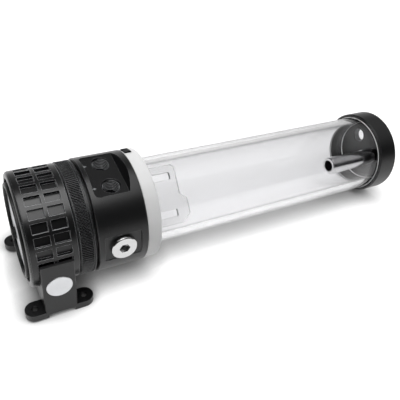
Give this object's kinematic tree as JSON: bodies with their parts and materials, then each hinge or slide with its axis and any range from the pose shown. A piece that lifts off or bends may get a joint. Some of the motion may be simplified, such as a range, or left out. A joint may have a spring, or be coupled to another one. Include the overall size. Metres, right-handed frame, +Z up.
{
  "type": "coolant pump reservoir",
  "caption": "Inline coolant pump in a ribbed black sleeve with a knurled ring, ported top, milky ring and clear tube with a black end cap, lying in a low cradle bracket.",
  "frame": {"origin": "centre of the four foot holes, on the surface that the feet stand on", "axes": "+X along the pump and tube axis towards the end cap, +Z up from the feet, right-handed"},
  "size_m": [0.3005, 0.0793, 0.0813],
  "materials": {
    "bracket_black": "satin black anodised",
    "sleeve_black": "satin black anodised",
    "ring_black": "satin black anodised, knurled",
    "badge_metal": "fine brushed",
    "screw_black": "black oxide",
    "can_black": "powder coated",
    "plate_steel": "rolled, zinc plated",
    "rubber_black": "moulded",
    "board_green": "solder mask",
    "core_steel": "laminated",
    "coil_copper": "enamelled copper wire",
    "bowl_plastic": "glass-filled, moulded",
    "ball_ceramic": "polished ceramic",
    "magnet_dark": "overmoulded magnet",
    "impeller_plastic": "moulded",
    "top_black": "machined acetal, satin",
    "plug_nickel": "nickel plated",
    "diffuser_white": "satin opal",
    "strip_white": "flexible strip",
    "exit_black": "moulded",
    "tube_clear": "clear, polished ends",
    "plate_clear": "clear, cut edges",
    "cap_black": "machined acetal, satin",
    "return_steel": "polished stainless",
    "adapter_black": "black plated brass"
  },
  "bodies": {
    "pump": {"mounting_bracket": "bracket_black", "cradle_screws": "screw_black", "side_badge": "badge_metal", "pump_sleeve": "sleeve_black", "motor_can": "can_black", "motor_rear_plate": "plate_steel", "cable_grommet": "rubber_black", "control_board": "board_green", "stator_core": "core_steel", "stator_coils": "coil_copper", "separator_bowl": "bowl_plastic", "bearing_ball": "ball_ceramic"},
    "rotor": {"rotor_magnet": "magnet_dark", "impeller": "impeller_plastic"},
    "ring": {"retention_ring": "ring_black"},
    "reservoir": {"pump_volute": "top_black", "pump_top": "top_black", "pump_seal": "rubber_black", "diffuser_ring": "diffuser_white", "light_strip": "strip_white", "light_cable_exit": "exit_black", "reservoir_tube": "tube_clear", "tube_base_seal": "rubber_black", "anti_vortex_plate": "plate_clear"},
    "cap_seal": {"tube_cap_seal": "rubber_black"},
    "cap": {"end_cap": "cap_black", "return_tube": "return_steel", "return_adapter": "adapter_black"},
    "plug_seal": {"port_plug_seal": "rubber_black"},
    "plug": {"port_plug": "plug_nickel"}
  },
  "joints": [
    {"name": "impeller_spin", "type": "hinge", "parent": "pump", "child": "rotor", "pos_m": [0.017, 0, 0.0432], "axis": [1, 0, 0], "continuous": true},
    {"name": "retention_ring_turn", "type": "hinge", "parent": "pump", "child": "ring", "pos_m": [0.0197, 0, 0.0432], "axis": [1, 0, 0], "range_deg": [0, 45]},
    {"name": "reservoir_swivel", "type": "hinge", "parent": "pump", "child": "reservoir", "pos_m": [0.0203, 0, 0.0432], "axis": [1, 0, 0], "range_deg": [-180, 180]},
    {"name": "cap_draw", "type": "slide", "parent": "reservoir", "child": "cap_seal", "axis": [1, 0, 0], "range_m": [0, 0.01]},
    {"name": "cap_turn", "type": "hinge", "parent": "cap_seal", "child": "cap", "pos_m": [0.2722, 0, 0.0432], "axis": [1, 0, 0], "range_deg": [0, 1440]},
    {"name": "plug_draw", "type": "slide", "parent": "reservoir", "child": "plug_seal", "axis": [0, -1, 0], "range_m": [0, 0.00802]},
    {"name": "plug_turn", "type": "hinge", "parent": "plug_seal", "child": "plug", "pos_m": [0.0417, -0.0365, 0.0432], "axis": [0, -1, 0], "range_deg": [0, 2160]}
  ],
  "couplings": [
    {"joint": "cap_draw", "follows": "cap_turn", "m_per_rad": 0.00039789},
    {"joint": "plug_draw", "follows": "plug_turn", "m_per_rad": 0.00021279}
  ]
}
